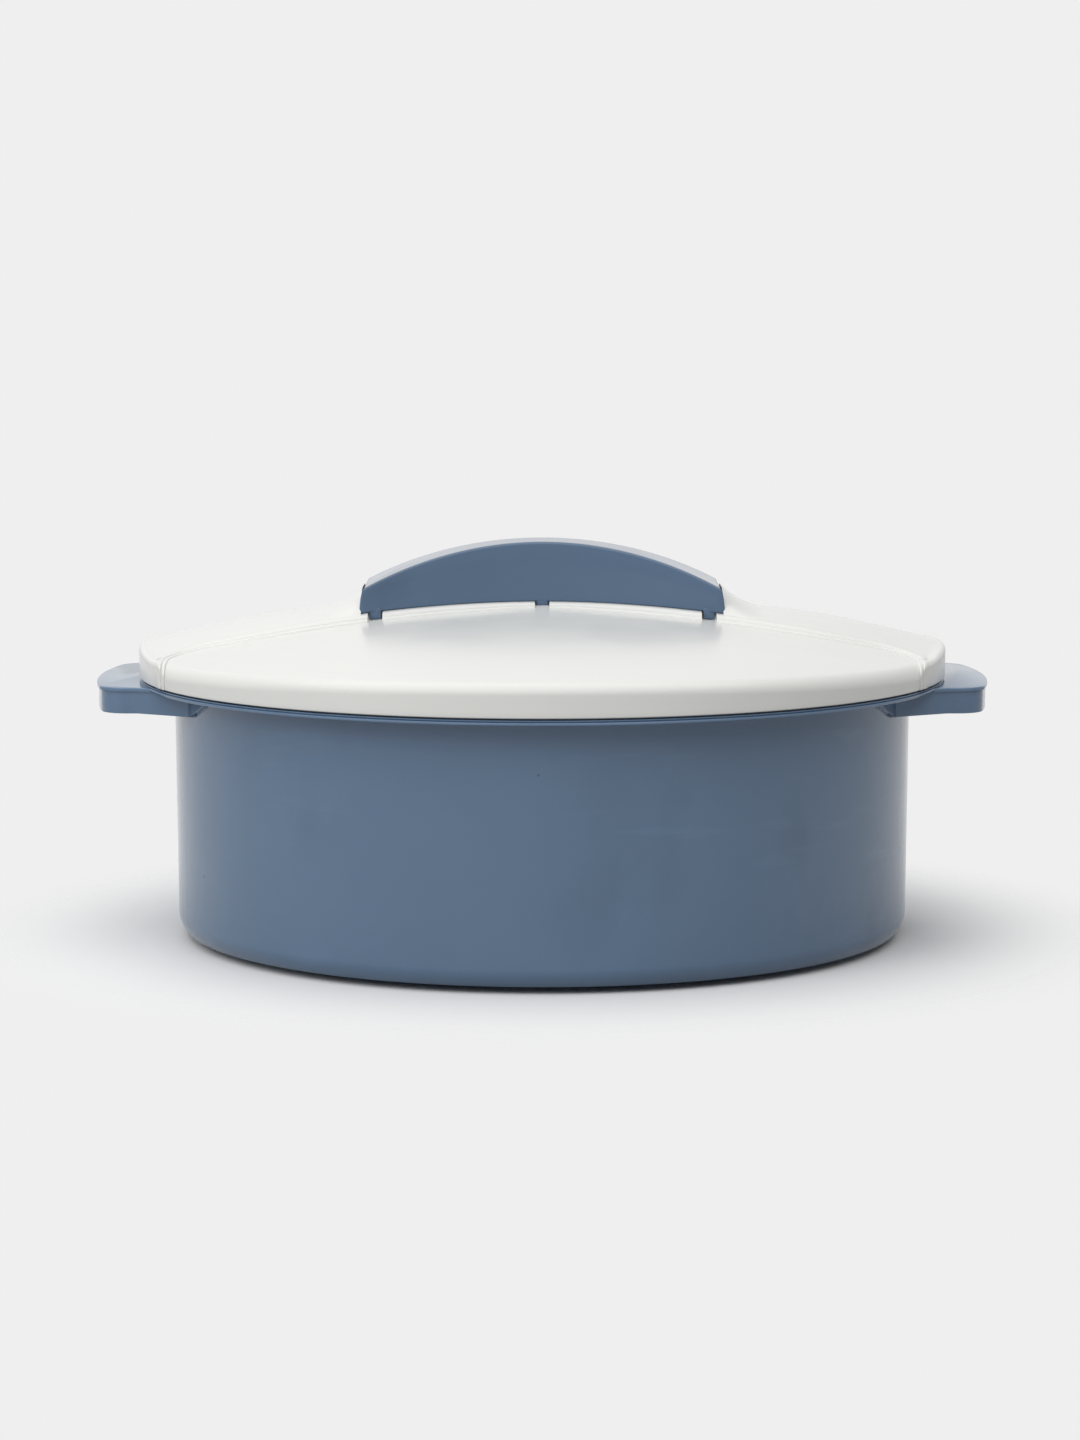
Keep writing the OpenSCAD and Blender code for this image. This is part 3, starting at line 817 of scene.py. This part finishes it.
def rib_line(form, place, up, proud, lift):
    """A line along a rib in the front right quarter, with its run over the shoulder and down the skirt."""
    lid = form.lid
    inset = place * lid.rib_width
    line = [Vector((p.x, p.y, form.ribbed(p.x, p.y, up, lift))) for p in form.plan_line(inset)]
    x, y = line[-1].x, line[-1].y
    foot_x = lid.rib_end + form.RIB[0][0] * lid.rib_width
    foot_z = form.panel(foot_x, -math.sqrt(form.rim_r ** 2 - foot_x ** 2))
    for low, high in zip(form.panel_rim(form.end_angle, foot_z), form.end_rim(form.band(x, y) + lift)):
        r, z = between(low[0], high[0], up), between(low[1], high[1], up)
        r += proud * lid.rib_proud * max(0, (r - form.rim_r) / (lid.radius - form.rim_r))
        line.append(Vector((x, -math.sqrt(r * r - x * x), z)))
    return line


def rib_quarter(form, bm):
    """The front right quarter of a rib: two beads, stepped up from the panel to the band."""
    rows = [rib_line(form, place, up, proud, form.lid.rib_height) for place, up, proud in form.RIB]
    skin(bm, rows + [rib_line(form, place=1, up=1, proud=0, lift=0)])


def band_quarter(form, bm):
    """The front right quarter of the band's top, with its end and the skirt below that."""
    edge = form.plan_line(form.lid.rib_width)
    shares = [1 - i / form.BAND_STEPS for i in range(form.BAND_STEPS + 1)]
    rows = []
    for s in shares:
        rows.append([Vector((p.x, p.y * s, form.ribbed(p.x, p.y * s, up=1, lift=0))) for p in edge])
    skin(bm, rows)
    chord = edge[-1]
    corner = math.atan2(chord.y, chord.x)
    columns = []
    for s in shares:
        start = Vector((chord.x, chord.y * s, 0))
        end = on_circle(form.rim_r, corner * s, 0)
        column = []
        for i in range(form.BAND_END_STEPS + 1):
            flat = between(start, end, i / form.BAND_END_STEPS)
            column.append(Vector((flat.x, flat.y, form.band(flat.x, flat.y))))
        for r, z in form.end_rim(column[-1].z):
            column.append(on_circle(r, -math.acos(chord.x / r) * s, z))
        columns.append(column)
    skin(bm, list(zip(*columns)))


def sweep_up(form, bm, handle, top):
    """The sweep from the band up to the handle's end on the right."""
    lid = form.lid
    foot_x = handle.length / 2 + lid.sweep_gap
    start_x = foot_x - handle.taper
    radius = lid.sweep_radius
    tilt = math.atan(form.slope)
    end_x = start_x + radius
    for _ in range(form.SWEEP_ROUNDS):
        centre_z = form.crest(end_x) + radius * math.cos(tilt)
        centre_x = start_x + math.sqrt(radius ** 2 - (centre_z - top) ** 2)
        end_x = centre_x - radius * math.sin(tilt)
    start = math.pi + math.asin((centre_z - top) / radius)
    section = arc((centre_x, centre_z), radius, start, 1.5 * math.pi - tilt, form.SWEEP_STEPS)
    section.append((end_x + lid.wall, form.crest(end_x + lid.wall) - lid.sweep_lap))

    def row(x, z):
        """Across the sweep, from a flat top at the handle to the band's own crown at the low end."""
        half = form.half_width(x) - lid.rib_width + lid.sweep_lap
        settle = eased((x - start_x) / (end_x - start_x))
        points = []
        for i in range(form.BAND_STEPS + 1):
            across = math.cos(math.pi / 2 * i / form.BAND_STEPS)
            low = form.band(x, across * half)
            full = z - settle * (form.crest(x) - low)
            points.append(Vector((x, -across * half, between(low, full, 1 - across ** form.SWEEP_FALL))))
        return points

    skin(bm, [row(foot_x, form.crest(foot_x))] + [row(x, z) for x, z in section])
    mirrored(bm, "Y")


# Operators

class POT_OT_body(bpy.types.Operator):
    """Make the outer body: base, wall and flange, without its side handles"""
    bl_idname = "pot.body"
    bl_label = "Body"

    BASE_CORNER_STEPS = 10

    def execute(self, context):
        body, finish = context.scene.pot_body, context.scene.pot_finish
        under = body.height - body.flange_thickness
        floor = body.foot_height + body.wall
        edge, rounding = body.flange_edge, body.base_round
        low = math.asin(1 - body.base_gap / rounding)
        corner = arc((body.base_radius - rounding, rounding), rounding, -low, 0, self.BASE_CORNER_STEPS)
        bm = turned([
            (0, body.foot_height, 0),
            (body.foot_inner, body.foot_height, body.foot_fillet),
            (body.foot_inner, 0, body.foot_edge),
            (body.foot_outer, 0, body.foot_edge),
            (body.foot_outer, body.base_gap, 0),
            *((r, z, 0) for r, z in corner),
            (body.wall_radius, under, body.flange_fillet),
            (body.flange_radius, under, edge),
            (body.flange_radius, body.height, edge),
            (body.wall_radius - body.wall, body.height, 0),
            (body.base_radius - body.wall, floor, rounding - body.wall),
            (0, floor, 0)])
        make_piece("body_moulding", bm, body_blue(finish), "base", "blue_shell", "outer_body")
        return {"FINISHED"}


class POT_OT_grips(bpy.types.Operator):
    """Make the two side handles with their gussets"""
    bl_idname = "pot.side_handles"
    bl_label = "Side handles"

    # Steps of half the outer end, of a corner and of the root in plan
    END_STEPS = 14
    CORNER_STEPS = 10
    ROOT_STEPS = 28
    # Segments of the rounded edges
    TOP_SEGMENTS = 3
    LOW_SEGMENTS = 4
    GUSSET_SEGMENTS = 2

    def outline(self, grip, body):
        """Plan of the right-hand handle, from its outer end round its root in the wall."""
        half, root_y = grip.width / 2, grip.root_width / 2
        reach = grip.reach - grip.corner
        corner_y = half - grip.corner
        corner = (math.sqrt(reach ** 2 - corner_y ** 2), corner_y)
        turn = math.atan2(corner_y, corner[0])
        root_r = body.wall_radius - body.wall / 2
        root = math.asin(root_y / body.wall_radius)
        half_plan = arc((0, 0), grip.reach, 0, turn, self.END_STEPS)[1:]
        half_plan += arc(corner, grip.corner, turn, math.pi / 2, self.CORNER_STEPS)[1:]
        half_plan += [(body.flange_radius - grip.wall, half), (body.wall_radius * math.cos(root), root_y)]
        inner = arc((0, 0), root_r, root, -root, self.ROOT_STEPS)
        return half_plan + inner + [(x, -y) for x, y in reversed(half_plan)] + [(grip.reach, 0)]

    def gusset(self, bm, grip, body):
        """A triangular gusset between the wall and the flange, behind the right-hand handle."""
        under = body.height - body.flange_thickness
        tall = grip.height - body.flange_thickness
        turn = math.asin((grip.root_width / 2 - grip.wall) / body.wall_radius)
        sunk = body.wall / 2
        corners = [(0, 0, under), (0, grip.gusset_length, under), (0, 0, under - tall)]
        face = bm.faces.new([bm.verts.new(c) for c in corners])
        made = bmesh.ops.extrude_face_region(bm, geom=[face])["geom"]
        far = [g for g in made if isinstance(g, bmesh.types.BMVert)]
        bmesh.ops.translate(bm, vec=(grip.gusset_depth + sunk, 0, 0), verts=far)
        place = Matrix.Rotation(turn, 4, "Z") @ Matrix.Translation((body.wall_radius - sunk, 0, 0))
        bmesh.ops.transform(bm, matrix=place, verts=face.verts[:] + far)
        rim = {e for v in far for e in v.link_edges}
        soften(bm, list(rim), body.flange_edge, self.GUSSET_SEGMENTS)

    def execute(self, context):
        grip, body = context.scene.pot_grip, context.scene.pot_body
        bm = bmesh.new()
        self.gusset(bm, grip, body)
        mirrored(bm, "Y")
        under_lip = body.height - WELD - grip.lip_thickness
        lip = bm.faces.new([bm.verts.new((x, y, under_lip)) for x, y in self.outline(grip, body)])
        plate = drawn_out(bm, lip, grip.lip_thickness)
        drawn_in(bm, lip, grip.lip)
        wall = drawn_out(bm, lip, grip.lip_thickness - grip.height)
        drop_face(bm, lip)
        low_edges = wall.edges[:]
        drawn_in(bm, wall, grip.wall)
        drawn_out(bm, wall, grip.height - grip.wall)
        drop_face(bm, wall)
        soften(bm, plate.edges[:], grip.top_edge, self.TOP_SEGMENTS)
        soften(bm, [e for e in low_edges if e.is_valid], grip.low_edge, self.LOW_SEGMENTS)
        mirrored(bm, "X")
        bmesh.ops.recalc_face_normals(bm, faces=bm.faces)
        make_piece("side_handles", bm, body_blue(context.scene.pot_finish), "base", "blue_shell")
        return {"FINISHED"}


class POT_OT_ring(bpy.types.Operator):
    """Make the ring on top of the flange"""
    bl_idname = "pot.rim_ring"
    bl_label = "Rim ring"

    def execute(self, context):
        body, inside, finish = context.scene.pot_body, context.scene.pot_inside, context.scene.pot_finish
        outer, top, chamfer = RING_HIGH.x, RING_HIGH.z, inside.ring_chamfer
        bm = turned([
            (inside.mouth, body.height, 0),
            (outer - chamfer, body.height, 0),
            (outer, body.height + chamfer, inside.ring_edge / 2),
            (outer, top - inside.ring_rebate, inside.ring_edge),
            (outer - inside.rebate_depth, top - inside.ring_rebate, 0),
            (outer - inside.rebate_depth, top, 0),
            (inside.mouth, top, inside.ring_edge)], closed=True)
        make_piece("seat_ring", bm, body_blue(finish), "base", "blue_shell", "rim_ring")
        return {"FINISHED"}


class POT_OT_bowl(bpy.types.Operator):
    """Make the bowl that holds the food"""
    bl_idname = "pot.bowl"
    bl_label = "Bowl"

    def execute(self, context):
        inside, finish = context.scene.pot_inside, context.scene.pot_finish
        outer = inside.mouth + inside.bowl_wall
        base = outer - inside.bowl_draft
        floor = BOWL_LOW.z + inside.bowl_wall
        bm = turned([
            (0, BOWL_LOW.z, 0),
            (base, BOWL_LOW.z, inside.bowl_round),
            (outer, BOWL_HIGH.z - inside.bowl_wall, inside.bowl_wall),
            (BOWL_HIGH.x, BOWL_HIGH.z - inside.bowl_wall, 0),
            (BOWL_HIGH.x, BOWL_HIGH.z, 0),
            (inside.mouth, BOWL_HIGH.z, 0),
            (base - inside.bowl_wall, floor, inside.bowl_round - inside.bowl_wall),
            (0, floor, 0)])
        make_piece("food_bowl", bm, bowl_white(finish), "base", "white_bowl", "inner_bowl")
        return {"FINISHED"}


class POT_OT_lid(bpy.types.Operator):
    """Make the lid: domed panels, raised band, double-bead ribs, sweeps and skirt"""
    bl_idname = "pot.lid"
    bl_label = "Lid"

    def execute(self, context):
        scene = context.scene
        form = LidForm(scene.pot_lid, scene.pot_handle)
        bm = bmesh.new()
        panel_quarter(form, bm)
        rib_quarter(form, bm)
        band_quarter(form, bm)
        four_quarters(bm)
        sweeps = bmesh.new()
        sweep_up(form, sweeps, scene.pot_handle, LID_HIGH.z - scene.pot_lid.sweep_drop)
        mirrored(sweeps, "X")
        face_out(sweeps)
        sweep_mesh = finished_mesh("sweeps", sweeps)
        bm.from_mesh(sweep_mesh)
        bpy.data.meshes.remove(sweep_mesh)
        white = white_plastic("lid_white", scene.pot_finish.lid_white, scene.pot_finish.lid_gloss)
        make_piece("lid_moulding", bm, white, "lid", "white_lid", "lid_shell")
        return {"FINISHED"}


class POT_OT_liner(bpy.types.Operator):
    """Make the liner under the lid"""
    bl_idname = "pot.lid_liner"
    bl_label = "Lid liner"

    def execute(self, context):
        inside, finish = context.scene.pot_inside, context.scene.pot_finish
        plug = inside.mouth - inside.liner_clearance
        seat = LINER_HIGH.z - inside.liner_wall
        low, wall = LINER_LOW.z, inside.liner_wall
        bm = turned([
            (0, low, 0),
            (plug, low, inside.liner_round),
            (plug, seat, inside.ring_edge),
            (LINER_HIGH.x, seat, 0),
            (LINER_HIGH.x, LINER_HIGH.z, 0),
            (plug - wall, LINER_HIGH.z, 0),
            (plug - wall, low + wall, inside.liner_round - wall),
            (0, low + wall, 0)])
        make_piece("lid_underside", bm, bowl_white(finish), "lid", "white_bowl", "lid_liner")
        return {"FINISHED"}


class POT_OT_handle(bpy.types.Operator):
    """Make the arched handle on the lid with its clip tabs"""
    bl_idname = "pot.lid_handle"
    bl_label = "Lid handle"

    # Steps along half a long side, round an upright corner, across half an end and round a top edge
    SIDE_STEPS = 30
    CORNER_STEPS = 8
    END_STEPS = 4
    EDGE_STEPS = 7
    # Rows of the ceiling inside and of the top, as shares of the width
    INSIDE_ROWS = (0, 0.5, 1)
    TOP_ROWS = (0.75, 0.4, 0)
    # Rows up the outside, as shares of the height
    WALL_ROWS = (0.3, 0.6)
    # Segments of a tab's rounded edges
    TAB_SEGMENTS = 2

    def plan_line(self, form, handle, up, inset):
        """Plan of the front right quarter at that share of the height, drawn in by inset."""
        setback = form.lid.rib_width + handle.seam + inset
        end = handle.length / 2 - handle.taper * up - inset
        corner = max(handle.corner - inset, handle.foot_edge)
        straight = end - corner
        places = [straight * i / self.SIDE_STEPS for i in range(self.SIDE_STEPS + 1)]
        line = [Vector((x, setback - form.half_width(x))) for x in places]
        turn = arc((straight, line[-1].y + corner), corner, -math.pi / 2, 0, self.CORNER_STEPS)
        line += [Vector(p) for p in turn[1:]]
        low = line[-1].y
        return line + [Vector((end, low * (1 - i / self.END_STEPS))) for i in range(1, self.END_STEPS + 1)]

    def shell_rows(self, form, handle):
        """Rows of the front right quarter, from the middle of the inside to the middle of the top."""
        def top(x):
            return handle.top - handle.arch + math.sqrt(handle.arch ** 2 - x * x)

        def foot(x):
            return form.band_edge(x) + handle.foot_gap + form.half_width(x) ** 2 / (2 * handle.foot_crown)

        inside = self.plan_line(form, handle, 1, handle.wall)
        rows = [[Vector((p.x, p.y * s, top(p.x) - handle.wall)) for p in inside] for s in self.INSIDE_ROWS]
        for inset, lift in ((handle.wall, 0), (handle.foot_edge, 0), (0, handle.foot_edge)):
            line = self.plan_line(form, handle, 0, inset)
            rows.append([Vector((p.x, p.y, foot(p.x) + lift)) for p in line])
        for up in self.WALL_ROWS:
            line = self.plan_line(form, handle, up, 0)
            rows.append([Vector((p.x, p.y, between(foot(p.x), top(p.x), up))) for p in line])
        past_side = range(-self.SIDE_STEPS, len(inside) - self.SIDE_STEPS)
        ends = [min(max(i / self.CORNER_STEPS, 0), 1) for i in past_side]
        edges = [between(handle.top_edge, handle.end_edge, end) for end in ends]
        for i in range(self.EDGE_STEPS + 1):
            turn = math.pi / 2 * i / self.EDGE_STEPS
            slim = self.plan_line(form, handle, 1, handle.top_edge * (1 - math.cos(turn)))
            full = self.plan_line(form, handle, 1, handle.end_edge * (1 - math.cos(turn)))
            row = []
            for thin, thick, end, edge in zip(slim, full, ends, edges):
                p = between(thin, thick, end)
                row.append(Vector((p.x, p.y, top(p.x) - edge * (1 - math.sin(turn)))))
            rows.append(row)
        last = rows[-1]
        return rows + [[Vector((p.x, p.y * s, p.z)) for p in last] for s in self.TOP_ROWS]

    def tab(self, bm, handle, form, x, side):
        """A clip tab that hangs from the handle's wall into its gap through the rib."""
        edge = form.half_width(x)
        front = edge - form.lid.rib_width - handle.seam - handle.tab_setback
        back = front - handle.wall
        low = form.panel(x, edge) + handle.tab_drop
        high = form.band_edge(x) + handle.wall
        block = bmesh.ops.create_cube(bm, size=1)["verts"]
        bmesh.ops.scale(bm, vec=(handle.tab_width, back - front, high - low), verts=block)
        bmesh.ops.translate(bm, vec=(x, side * (front + back) / 2, (low + high) / 2), verts=block)
        bmesh.ops.recalc_face_normals(bm, faces=list({f for v in block for f in v.link_faces}))
        soften(bm, list({e for v in block for e in v.link_edges}), handle.foot_edge, self.TAB_SEGMENTS)

    def execute(self, context):
        scene = context.scene
        handle = scene.pot_handle
        form = LidForm(scene.pot_lid, handle)
        bm = bmesh.new()
        skin(bm, self.shell_rows(form, handle))
        four_quarters(bm)
        tab_x = handle.length / 2 - handle.tab_end
        for x in (-tab_x, 0, tab_x):
            for side in (-1, 1):
                self.tab(bm, handle, form, x, side)
        finish = scene.pot_finish
        blue = blue_plastic("handle_blue", finish.handle_blue, finish.body_gloss)
        make_piece("lid_grip", bm, blue, "lid", "blue_handle", "lid_handle")
        return {"FINISHED"}


class POT_OT_fillings(bpy.types.Operator):
    """Make the base plug, and finish the foam and the plug hidden in the lid"""
    bl_idname = "pot.fillings"
    bl_label = "Foam and plugs"

    def execute(self, context):
        inside, finish = context.scene.pot_inside, context.scene.pot_finish
        head = PLUG_LOW.z + inside.plug_head
        stem = PLUG_HIGH.x - inside.plug_lap
        bm = turned([
            (0, PLUG_LOW.z, 0),
            (PLUG_HIGH.x, PLUG_LOW.z, inside.plug_head / 2),
            (PLUG_HIGH.x, head, 0),
            (stem, head, 0),
            (stem, PLUG_HIGH.z, 0),
            (0, PLUG_HIGH.z, 0)])
        make_piece("base_cap", bm, body_blue(finish), "base", "blue_shell", "base_plug")
        foam = rigid_foam("foam_cream", finish.foam_cream)
        paint_node("body_foam", foam)
        paint_node("lid_foam", foam)
        paint_node("lid_plug", bowl_white(finish))
        return {"FINISHED"}


class POT_OT_studio(bpy.types.Operator):
    """Set up the floor, the light, the background and the camera"""
    bl_idname = "pot.studio"
    bl_label = "Studio"

    FLOOR_SEGMENTS = 96
    SENSOR_HEIGHT = 36
    WHITE = (1, 1, 1, 1)

    def lay_floor(self, studio):
        """A round floor that shows the pot's shadow and passes into the background further out."""
        bm = bmesh.new()
        bmesh.ops.create_circle(bm, cap_ends=True, segments=self.FLOOR_SEGMENTS, radius=studio.floor_radius)
        mesh = finished_mesh("floor", bm)
        sh = Finish("floor_grey")
        distance = sh.add("ShaderNodeVectorMath", operation="LENGTH")
        sh.link(sh.place, distance.inputs[0])
        away = sh.ranged(distance.outputs["Value"], studio.fade_start, studio.fade_end, soft=True)
        direct, seen = sh.rays()
        fade = sh.math("MULTIPLY", away, direct)
        matte = sh.add("ShaderNodeBsdfDiffuse")
        grey = sh.mixed(seen, linear(studio.floor_bounce), linear(studio.backdrop))
        sh.link(grey, matte.inputs["Color"])
        clear = sh.add("ShaderNodeBsdfTransparent")
        sh.show_mix(fade, matte.outputs["BSDF"], clear.outputs["BSDF"])
        mesh.materials.append(sh.material)
        add_object("floor", mesh)

    def light_world(self, scene, studio):
        """An even sky, which the camera and reflections see as the backdrop."""
        scene.world = bpy.data.worlds.new("studio")
        sh = NodeTree(scene.world, "ShaderNodeOutputWorld")
        sky = sh.add("ShaderNodeBackground")
        sky.inputs["Color"].default_value = self.WHITE
        sky.inputs["Strength"].default_value = studio.sky
        backdrop = sh.add("ShaderNodeBackground")
        backdrop.inputs["Color"].default_value = linear(studio.backdrop)
        _, seen = sh.rays()
        sh.show_mix(seen, sky.outputs["Background"], backdrop.outputs["Background"])

    def hang_lamp(self, name, watts, breadth, place):
        """A round lamp aimed at the middle of the pot."""
        light = bpy.data.lights.new(name, "AREA")
        light.shape = "DISK"
        light.size = breadth
        light.energy = watts
        lamp = add_object(name, light)
        lamp.visible_camera = False
        lamp.location = place
        aim = Vector((0, 0, CAD_BOX[1][2] / 2)) - lamp.location
        lamp.rotation_euler = aim.to_track_quat("-Z", "Y").to_euler()
        return lamp

    def place_camera(self, scene, studio):
        """The camera, in front of the pot and tilted down."""
        lens = bpy.data.cameras.new("camera")
        lens.sensor_fit = "VERTICAL"
        lens.sensor_height = self.SENSOR_HEIGHT
        lens.lens = studio.lens
        lens.shift_x = studio.shift
        scene.camera = add_object("camera", lens)
        scene.camera.location = (0, -studio.camera_distance, studio.camera_height)
        scene.camera.rotation_euler = (math.pi / 2 - studio.camera_pitch, 0, 0)

    def execute(self, context):
        studio = context.scene.pot_studio
        self.lay_floor(studio)
        self.light_world(context.scene, studio)
        self.hang_lamp("key", studio.key_power, studio.key_breadth, studio.key_place)
        for name, place in (("fill_front", studio.fill_front), ("fill_back", studio.fill_back)):
            fill = self.hang_lamp(name, studio.fill_power, studio.fill_breadth, place)
            fill.visible_glossy = False
        self.place_camera(context.scene, studio)
        context.scene.view_settings.view_transform = "Standard"
        return {"FINISHED"}


class POT_PT_panel(bpy.types.Panel):
    """Lists the pot's pieces and its studio"""
    bl_idname = "POT_PT_panel"
    bl_label = "Serving pot"
    bl_space_type = "VIEW_3D"
    bl_region_type = "UI"
    bl_category = "Serving pot"

    def draw(self, context):
        for operator in OPERATORS:
            self.layout.operator(operator.bl_idname)


OPERATORS = (POT_OT_body, POT_OT_grips, POT_OT_ring, POT_OT_bowl, POT_OT_lid, POT_OT_liner, POT_OT_handle,
             POT_OT_fillings, POT_OT_studio)
CLASSES = (*GROUPS.values(), *OPERATORS, POT_PT_panel)


def register():
    for cls in CLASSES:
        bpy.utils.register_class(cls)
    for name, group in GROUPS.items():
        setattr(bpy.types.Scene, name, bpy.props.PointerProperty(type=group))


def unregister():
    for name in GROUPS:
        delattr(bpy.types.Scene, name)
    for cls in reversed(CLASSES):
        bpy.utils.unregister_class(cls)


def main():
    register()
    for operator in OPERATORS:
        group, name = operator.bl_idname.split(".")
        getattr(getattr(bpy.ops, group), name)()


if __name__ == "__main__":
    main()
